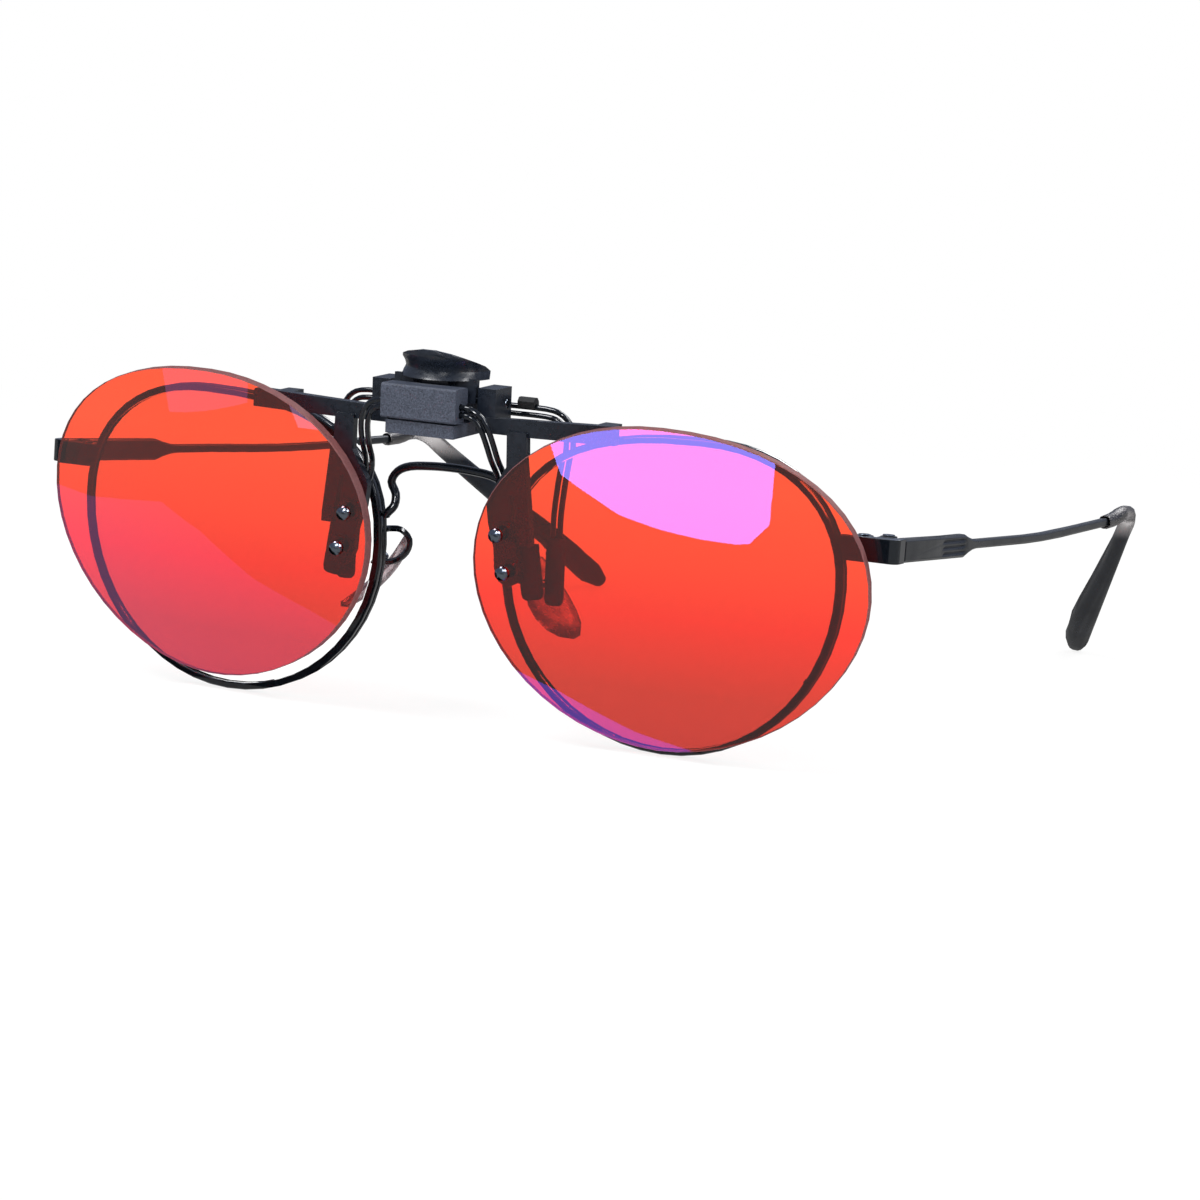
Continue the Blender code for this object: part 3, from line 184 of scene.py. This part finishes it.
def makeWorld(values):
    world = bpy.data.worlds.new("studio")
    bpy.context.scene.world = world
    tree = startTree(world)
    mirrored, seen, white = sortRays(tree, values)
    gloss = addNode(tree, "MapRange", [(mirrored, "Value")],
                    To_Min=values["airLight"], To_Max=values["airInGloss"])
    power = addNode(tree, "Mix", [(seen, 0), (gloss.outputs[0], 2), (white, 3)])
    cool = addNode(tree, "Mix", [(mirrored, 0)], [(6, (1, 1, 1, 1)), (7, srgb(values["airTint"]))],
                   data_type="RGBA")
    light = addNode(tree, "Background", [(cool.outputs[2], "Color"),
                                         (power.outputs[0], "Strength")])
    addNode(tree, "OutputWorld", [(light.outputs[0], "Surface")])


def makePaper(values):
    bm = bmesh.new()
    bmesh.ops.create_grid(bm, x_segments=1, y_segments=1, size=values["paperSize"])
    paper = addObject("paper", meshFrom("paper", bm))
    made = bpy.data.materials.new("whitePaper")
    tree = startTree(made)
    mirrored, seen, white = sortRays(tree, values)
    away = addNode(tree, "VectorMath", [(addNode(tree, "TexCoord").outputs["Object"], 0)],
                   operation="LENGTH")
    whiter = addNode(tree, "MapRange", [(away.outputs["Value"], "Value")],
                     interpolation_type="SMOOTHSTEP", From_Min=values["whiteFrom"],
                     From_Max=values["whiteFar"], To_Min=values["whiteNear"], To_Max=1.0)
    gloss = addNode(tree, "Math", [(mirrored, 0)],
                    [(1, values["paperInGloss"])], operation="MULTIPLY")
    share = addNode(tree, "Mix", [(seen, 0), (gloss.outputs[0], 2), (whiter.outputs[0], 3)])
    # The lamps' light on the paper isn't mirrored, so there its diffuse part is black
    lit = addNode(tree, "BsdfDiffuse", Color=srgb(values["paper"]))
    dim = addNode(tree, "BsdfDiffuse", Color=srgb("#000000"))
    glow = addNode(tree, "Emission", [(white, "Strength")], Color=(1, 1, 1, 1))
    kept = addNode(tree, "MixShader", [(mirrored, 0), (lit.outputs[0], 1),
                                       (dim.outputs[0], 2)])
    mixed = addNode(tree, "MixShader", [(share.outputs[0], 0), (kept.outputs[0], 1),
                                        (glow.outputs[0], 2)])
    addNode(tree, "OutputMaterial", [(mixed.outputs[0], "Surface")])
    paper.data.materials.append(made)


makeLamps(studio)
makeWorld(studio)
makePaper(studio)
bpy.context.scene.view_settings.view_transform = "Standard"
print("studio lit")

# Lit cards that lie before the glasses, each of them lighting one lens alone. The right
# lens mirrors a bright window and its sill, the left one a paler pane, a wall and a table.
# Corners are in metres on the paper
cardLift = 1.0    # mm above the paper
cards = {
    "windowRight": {"lens": "right_tinted_lens", "glow": 11.5, "tint": "#8b8aff", "corners": (
        (-0.130, -0.362), (-0.064, -0.249), (-0.036, -0.201), (-0.015, -0.187), (0.015, -0.168),
        (0.030, -0.161), (0.046, -0.158), (0.051, -0.172), (0.056, -0.422), (0.060, -0.700),
        (-0.230, -0.700))},
    "sillRight": {"lens": "right_tinted_lens", "glow": 3.2, "tint": "#9073ff", "corners": (
        (-0.004, -0.092), (0.006, -0.084), (0.016, -0.080), (0.024, -0.076), (0.030, -0.073),
        (0.038, -0.070), (0.040, -0.055), (-0.020, -0.060))},
    "paneLeft": {"lens": "left_tinted_lens", "glow": 2.3, "tint": "#e4c9ff", "corners": (
        (-0.214, -0.377), (-0.132, -0.254), (-0.100, -0.213), (-0.087, -0.209),
        (-0.082, -0.221), (-0.113, -0.298), (-0.189, -0.455))},
    "wallLeft": {"lens": "left_tinted_lens", "glow": 1.26, "tint": "#ffb0f3", "corners": (
        (-0.189, -0.205), (-0.157, -0.249), (-0.449, -0.635), (-0.451, -0.411))},
    "tableLeft": {"lens": "left_tinted_lens", "glow": 0.84, "tint": "#e3b3ff", "corners": (
        (-0.119, -0.103), (-0.098, -0.118), (-0.072, -0.111), (-0.045, -0.098),
        (-0.029, -0.092), (-0.018, -0.087), (-0.010, -0.060), (-0.060, -0.040),
        (-0.160, -0.050), (-0.220, -0.085))},
}


def makeCard(name, values, lens):
    bm = bmesh.new()
    ring = [bm.verts.new((x, y, cardLift * mm)) for x, y in values["corners"]]
    bmesh.ops.contextual_create(bm, geom=ring)
    bmesh.ops.triangulate(bm, faces=bm.faces)
    card = addObject(name, meshFrom(name, bm))
    made = bpy.data.materials.new(name)
    tree = startTree(made)
    glow = addNode(tree, "Emission", Color=srgb(values["tint"]), Strength=values["glow"])
    addNode(tree, "OutputMaterial", [(glow.outputs[0], "Surface")])
    card.data.materials.append(made)
    card.visible_camera = card.visible_diffuse = card.visible_transmission = False
    card.visible_shadow = card.visible_volume_scatter = False
    lit = bpy.data.collections.new(name + "Lights")
    lit.objects.link(lens)
    card.light_linking.receiver_collection = lit


def startMaterial(name, **settings):
    made = bpy.data.materials.new(name)
    tree = startTree(made)
    shader = addNode(tree, "BsdfPrincipled", **settings)
    addNode(tree, "OutputMaterial", [(shader.outputs[0], "Surface")])
    place = addNode(tree, "TexCoord").outputs["Object"]
    return made, tree, shader, place


# The two noises that all grained materials share, and the spread of each that counts. A
# pixel of the render is about 0.14 mm on the glasses. The real grain of plating, lacquer,
# rubber and steel is finer, so each is drawn as coarse as it needs to show
noise = {"detail": 3.0, "roughness": 0.6, "spread": (0.3, 0.7),
         "smudgeDetail": 2.0, "smudgeSpread": (0.45, 0.75)}


def giveGrain(tree, shader, place, values):
    # One grain, its size in mm, gives colour, roughness and height; wider smudges dull it
    grain = addNode(tree, "TexNoise", [(place, "Vector")], Scale=1 / (values["grain"] * mm),
                    Detail=noise["detail"], Roughness=noise["roughness"])
    smudge = addNode(tree, "TexNoise", [(place, "Vector")], Scale=1 / (values["smudge"] * mm),
                     Detail=noise["smudgeDetail"])
    level = addNode(tree, "MapRange", [(grain.outputs["Fac"], "Value")],
                    From_Min=noise["spread"][0], From_Max=noise["spread"][1])
    colour = addNode(tree, "Mix", [(level.outputs[0], 0)],
                     [(6, srgb(values["dark"])), (7, srgb(values["pale"]))], data_type="RGBA")
    rough = addNode(tree, "MapRange", [(level.outputs[0], "Value")],
                    To_Min=values["rough"][0], To_Max=values["rough"][1])
    dull = addNode(tree, "MapRange", [(smudge.outputs["Fac"], "Value")],
                   From_Min=noise["smudgeSpread"][0], From_Max=noise["smudgeSpread"][1],
                   To_Max=values["dulled"])
    both = addNode(tree, "Math", [(rough.outputs[0], 0), (dull.outputs[0], 1)],
                   operation="ADD")
    bump = addNode(tree, "Bump", [(grain.outputs["Fac"], "Height")],
                   Distance=values["depth"] * mm)
    tree.links.new(colour.outputs[2], shader.inputs["Base Color"])
    tree.links.new(both.outputs[0], shader.inputs["Roughness"])
    tree.links.new(bump.outputs[0], shader.inputs["Normal"])


def makeGrained(name, values, **settings):
    made, tree, shader, place = startMaterial(name, **settings)
    giveGrain(tree, shader, place, values)
    return made


# Nickel alloy, stamped and drawn, then plated black: satin, with a faint orange peel
platedValues = {"dark": "#10151d", "pale": "#182029", "grain": 0.25, "depth": 0.006,
                "rough": (0.26, 0.34), "smudge": 5.0, "dulled": 0.10}
blackPlatedAlloy = makeGrained("blackPlatedAlloy", platedValues, Metallic=0.55,
                               Coat_Weight=0.35, Coat_Roughness=0.10)

# Drawn wire with baked black lacquer, on the clip and on the rims: glossier than the plated
# arms, with long thin highlights
wireValues = {"dark": "#0d1117", "pale": "#141a22", "grain": 0.30, "depth": 0.003,
              "rough": (0.12, 0.18), "smudge": 4.0, "dulled": 0.08}
lacqueredSpringWire = makeGrained("lacqueredSpringWire", wireValues, Metallic=0.4,
                                  Coat_Weight=1.0, Coat_Roughness=0.06)

# Glass-filled nylon from a spark-eroded mould: an even, dry, slate-coloured grain
blockValues = {"dark": "#232835", "pale": "#4a5161", "grain": 0.22, "depth": 0.030,
               "rough": (0.50, 0.66), "smudge": 3.0, "dulled": 0.08}
grainedNylon = makeGrained("grainedNylon", blockValues, IOR=1.53)

# Polycarbonate from a polished mould, black: dark and glossy with a little flow ripple
carrierValues = {"dark": "#11161f", "pale": "#19202b", "grain": 0.60, "depth": 0.010,
                 "rough": (0.22, 0.32), "smudge": 4.0, "dulled": 0.12}
blackPolycarbonate = makeGrained("blackPolycarbonate", carrierValues, IOR=1.58,
                                 Coat_Weight=0.2, Coat_Roughness=0.08)

# Cellulose acetate sleeve, tumbled and polished: clear grey at its mouth, and black from a
# little below the bend; both levels are heights in mm
sleeveValues = {"dark": "#0c0f16", "pale": "#131821", "grain": 2.00, "depth": 0.004,
                "rough": (0.24, 0.34), "smudge": 6.0, "dulled": 0.12,
                "clear": "#b4b0b0", "clearFrom": 26.6, "blackFrom": 22.6}
fadedAcetate, tree, shader, place = startMaterial("fadedAcetate", IOR=1.48)
giveGrain(tree, shader, place, sleeveValues)
height = addNode(tree, "SeparateXYZ", [(place, "Vector")])
fade = addNode(tree, "MapRange", [(height.outputs["Z"], "Value")],
               interpolation_type="SMOOTHSTEP", From_Min=sleeveValues["blackFrom"] * mm,
               From_Max=sleeveValues["clearFrom"] * mm)
dyed = shader.inputs["Base Color"].links[0].from_socket
faded = addNode(tree, "Mix", [(fade.outputs[0], 0), (dyed, 6)],
                [(7, srgb(sleeveValues["clear"]))], data_type="RGBA")
tree.links.new(faded.outputs[2], shader.inputs["Base Color"])
tree.links.new(fade.outputs[0], shader.inputs["Transmission Weight"])

# Moulded rubber, on the feet and the crimp: dull, charcoal, finely pitted
rubberValues = {"dark": "#101113", "pale": "#1d1e21", "grain": 0.18, "depth": 0.012,
                "rough": (0.60, 0.80), "smudge": 3.0, "dulled": 0.05}
mouldedRubber = makeGrained("mouldedRubber", rubberValues, IOR=1.52)

# Stainless steel, cold headed and tumbled: pale grey with a clear highlight
screwValues = {"dark": "#7d8794", "pale": "#98a2ae", "grain": 0.15, "depth": 0.002,
               "rough": (0.12, 0.18), "smudge": 1.5, "dulled": 0.10}
tumbledSteel = makeGrained("tumbledSteel", screwValues, Metallic=1.0)

# Clear silicone rubber, moulded: milky and soft, a little mauve, with flow streaks
siliconeValues = {"dark": "#94858a", "pale": "#d6c9cc", "grain": 0.9, "depth": 0.040,
                  "rough": (0.16, 0.30), "smudge": 2.0, "dulled": 0.10}
clearSilicone = makeGrained("clearSilicone", siliconeValues, Transmission_Weight=0.82, IOR=1.41)


def lampsPass(tree, shader, tint):
    # Rays from the lamps go straight through, with the lens's tint on them
    surface = shader.outputs[0].links[0].to_socket
    path = addNode(tree, "LightPath")
    clear = addNode(tree, "BsdfTransparent", Color=srgb(tint))
    mixed = addNode(tree, "MixShader", [(path.outputs["Is Shadow Ray"], 0),
                                        (shader.outputs[0], 1), (clear.outputs[0], 2)])
    tree.links.new(mixed.outputs[0], surface)


# Clear demo lens, cast acrylic: polished, with hardly a tint
demoValues = {"tint": "#fbfcfc", "shadow": "#f4f6f6"}
castAcrylic, tree, shader, place = startMaterial(
    "castAcrylic", Base_Color=srgb(demoValues["tint"]), Roughness=0.0, IOR=1.49,
    Transmission_Weight=1.0)
lampsPass(tree, shader, demoValues["shadow"])

# Polycarbonate lens, dyed red in the mass and hard coated, with sharp reflections. Its red is
# painted deeper low down and more orange at the top: painted shade and painted reflection on
# top of the dye. Each tint is given with its height in mm
redValues = {"shadow": "#b83c26", "tints": ((0.0, "#c6382d"), (9.0, "#cd392a"), (19.0, "#f53728"),
                                            (26.0, "#ff462a"), (36.0, "#ff522d"))}
dyedPolycarbonateWithPaintedShade, tree, shader, place = startMaterial(
    "dyedPolycarbonateWithPaintedShade", Roughness=0.0, IOR=1.5, Transmission_Weight=1.0,
    Specular_Tint=(0.8, 0.7, 0.75, 1.0), Coat_Weight=1.0, Coat_Roughness=0.0, Coat_IOR=1.6)
highest = redValues["tints"][-1][0]
height = addNode(tree, "SeparateXYZ", [(place, "Vector")])
share = addNode(tree, "MapRange", [(height.outputs["Z"], "Value")], From_Max=highest * mm)
# The ramp by height paints shade and reflection into the lens's red: deeper low, more orange high
ramp = addNode(tree, "ValToRGB", [(share.outputs[0], "Fac")])
stops = ramp.color_ramp.elements
for i, (z, tint) in enumerate(redValues["tints"]):
    stop = stops[i] if i < 2 else stops.new(1.0)
    stop.position = z / highest
    stop.color = srgb(tint)
tree.links.new(ramp.outputs["Color"], shader.inputs["Base Color"])
lampsPass(tree, shader, redValues["shadow"])

# The same lens where its edge was ground: frosted, so it shows a dusty rose
edgeValues = {"dark": "#5e3436", "pale": "#8a5556", "grain": 0.20, "depth": 0.010,
              "rough": (0.55, 0.75), "smudge": 2.0, "dulled": 0.10}
groundPolycarbonate = makeGrained("groundPolycarbonate", edgeValues, Transmission_Weight=0.25,
                                  IOR=1.5)
print("materials made")


def pair(*names):
    return [side + "_" + name for side in ("left", "right") for name in names]


def startPiece(node, flat=0.8):
    # A merged copy of the node's mesh; faces within that many degrees are made one again
    bm = bmesh.new()
    bm.from_mesh(frame["nodes"][node].data)
    bmesh.ops.remove_doubles(bm, verts=bm.verts, dist=0.001 * mm)
    if flat:
        bmesh.ops.dissolve_limit(bm, angle_limit=radians(flat), verts=bm.verts,
                                 edges=bm.edges)
    return bm


def endPiece(bm, node, paint, slot, crease=32, soften=0.0, steps=2):
    # Shaded smooth up to the crease angle, with that many mm taken off the sharp edges
    first, *others = node.split("_")
    name = first + "".join(word.title() for word in others)
    mesh = meshFrom(name, bm)
    mesh.polygons.foreach_set("use_smooth", [True] * len(mesh.polygons))
    mesh.set_sharp_from_angle(angle=radians(crease))
    mesh.materials.append(paint)
    piece = addObject(name, mesh)
    if soften:
        edges = piece.modifiers.new("softEdges", "BEVEL")
        edges.width, edges.segments = soften * mm, steps
        edges.limit_method, edges.angle_limit = "ANGLE", radians(crease)
        edges.harden_normals = True
    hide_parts(node)
    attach(piece, frame["nodes"][node]["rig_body"])
    return piece


# Each sleeve is a blade: below the bend it widens toward the inside, and it narrows a little
# at its end. The points are the right one's, in mm, and its outer side, that far from the
# line between them, stays. Each width goes with its share of the way along that line
blade = {"bend": (61.2, 41.7, 26.9), "end": (44.4, 77.5, 2.2), "outer": 1.1,
         "widths": ((0.0, 1.0), (0.25, 1.12), (0.86, 2.1), (1.0, 1.6))}


def between(pairs, share):
    # The value at that share, straight between the pairs that are given
    for (low, first), (high, second) in zip(pairs, pairs[1:]):
        if share <= high:
            return first + (second - first) * max(0.0, share - low) / (high - low)
    return pairs[-1][1]


def widenTip(bm, side, values):
    bend, end = (Vector((side * p[0], p[1], p[2])) * mm for p in (values["bend"], values["end"]))
    drop = end - bend
    across = drop.cross(Vector((0, 0, 1))).normalized()
    for v in bm.verts:
        share = (v.co - bend).dot(drop) / drop.length_squared
        if share > 0:
            wider = between(values["widths"], share)
            off = (v.co - bend).dot(across)
            v.co += across * ((off - side * values["outer"] * mm) * (wider - 1))


# A thin web under the thumb lever's drum closes the gap above the block; in mm
lever = {"half": 6.05, "low": 43.4, "high": 46.5, "front": -73.40, "back": -72.60}


def hangWeb(bm, web):
    size = (2 * web["half"], web["back"] - web["front"], web["high"] - web["low"])
    middle = (0, (web["front"] + web["back"]) / 2, (web["low"] + web["high"]) / 2)
    bmesh.ops.create_cube(bm, size=1, matrix=Matrix.Translation(Vector(middle) * mm)
                          @ Matrix.Diagonal((*(Vector(size) * mm), 1)))


# A hollow in the pad's rim leaves room for its arm when the pad rocks; the right one's, in mm
hollow = {"at": (11.25, -63.0, 19.5), "reach": 2.4, "deep": 0.45, "way": (0, 0.94, -0.34)}


def hollowPad(bm, side, values):
    at = Vector((side * values["at"][0], *values["at"][1:])) * mm
    for v in bm.verts:
        near = 1 - (v.co - at).length / (values["reach"] * mm)
        if near > 0:
            v.co += Vector(values["way"]) * (values["deep"] * mm * near)


# Hinge and rim screw heads end almost flush with what holds them, and the crimp is a lug on
# the wires' upper side; heights in mm
levels = {"screwTop": 31.68, "crimpFoot": 43.1}


def keepBetween(bm, low=0.0, high=60.0):
    # All of the glasses lies between the two heights that low and high have here
    for v in bm.verts:
        v.co.z = min(max(v.co.z, low * mm), high * mm)


finishes = [
    (pair("eyewire"), lacqueredSpringWire, "black_metal", {"soften": 0.14, "crease": 40}),
    (["bridge"] + pair("pad_arm"), lacqueredSpringWire, "black_metal", {"crease": 55}),
    (pair("endpiece"), lacqueredSpringWire, "black_metal", {"soften": 0.45, "steps": 4}),
    (pair("temple", "temple_hinge", "front_hinge", "pad_box"), blackPlatedAlloy,
     "black_metal", {"soften": 0.12}),
    (pair("front_wire", "rear_wire") + ["torsion_spring"], lacqueredSpringWire, "black_steel",
     {"crease": 60}),
    (["wire_crimp"], mouldedRubber, "black_steel", {"soften": 0.10}),
    (["hinge_block"], grainedNylon, "block_plastic", {"soften": 0.16}),
    (["thumb_lever"] + pair("carrier"), blackPolycarbonate, "black_plastic", {"soften": 0.12}),
    (pair("temple_tip"), fadedAcetate, "sleeve_plastic", {"soften": 0.15, "crease": 50}),
    (pair("front_pad", "rear_pad"), mouldedRubber, "rubber", {"soften": 0.15}),
    (pair("hinge_screw", "lock_screw", "pad_screw", "upper_rivet", "lower_rivet")
     + ["axle_pin"], tumbledSteel, "steel", {"soften": 0.04, "crease": 40}),
    (pair("nose_pad"), clearSilicone, "silicone", {"crease": 70}),
]
pieces = {}
for names, paint, slot, values in finishes:
    for node in names:
        bm = startPiece(node)
        side = -1 if node.startswith("left") else 1
        if node == "thumb_lever":
            hangWeb(bm, lever)
        elif node.endswith("temple_tip"):
            widenTip(bm, side, blade)
        elif node.endswith("nose_pad"):
            hollowPad(bm, side, hollow)
        elif node.endswith(("hinge_screw", "lock_screw")):
            keepBetween(bm, high=levels["screwTop"])
        elif node == "wire_crimp":
            keepBetween(bm, low=levels["crimpFoot"])
        pieces[node] = endPiece(bm, node, paint, slot, **values)
print("solid pieces finished")

# A lens looks where its front faces do on average, and what is turned further from that way
# than the cosine edge is its ground edge. The front faces are within the cosine ahead of -Y
lensValues = {"ahead": 0.8, "edge": 0.82, "crease": 20}


def markEdge(bm, values):
    # The edge's faces take the second material
    front = (f.normal for f in bm.faces if f.normal.y < -values["ahead"])
    ahead = sum(front, Vector()).normalized()
    for f in bm.faces:
        f.material_index = int(abs(f.normal.dot(ahead)) < values["edge"])


for node in pair("demo_lens"):
    pieces[node] = endPiece(startPiece(node, flat=0), node, castAcrylic, "clear_lens",
                            crease=lensValues["crease"])
for node in pair("tinted_lens"):
    bm = startPiece(node, flat=0)
    markEdge(bm, lensValues)
    pieces[node] = endPiece(bm, node, dyedPolycarbonateWithPaintedShade, "red_lens",
                            crease=lensValues["crease"])
    pieces[node].data.materials.append(groundPolycarbonate)
print("lenses finished")

for name, values in cards.items():
    makeCard(name, values, pieces[values["lens"]])
print("cards laid")
